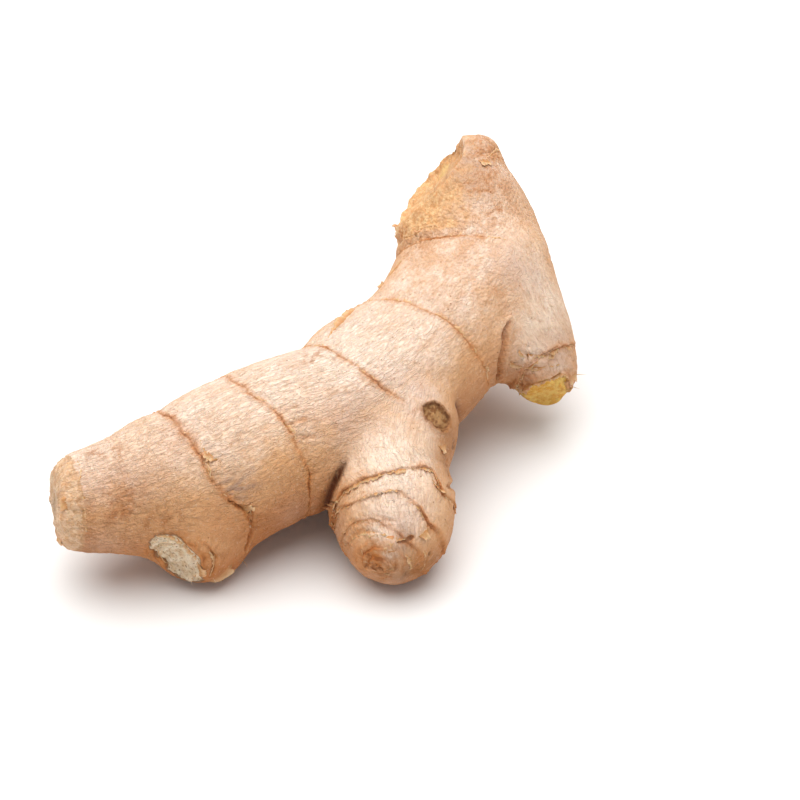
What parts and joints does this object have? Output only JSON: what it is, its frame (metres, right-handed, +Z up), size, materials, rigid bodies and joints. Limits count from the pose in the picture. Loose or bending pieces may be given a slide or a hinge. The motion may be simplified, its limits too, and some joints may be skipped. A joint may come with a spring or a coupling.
{
  "type": "ginger root",
  "caption": "Whole fresh ginger rhizome lying down: ringed tan skin, blunt branching fingers and knobs, bud scars, and broken ends that show the yellow flesh.",
  "frame": {"origin": "below the middle of the root, on the surface it lies on", "axes": "+X from the broken left end along the main finger, +Y toward the raised broken end, +Z up"},
  "size_m": [0.1127, 0.1012, 0.0546],
  "materials": {
    "skin": "thin dry papery skin, satin"
  },
  "bodies": {
    "root": {"ginger_rhizome": "skin"}
  },
  "joints": []
}
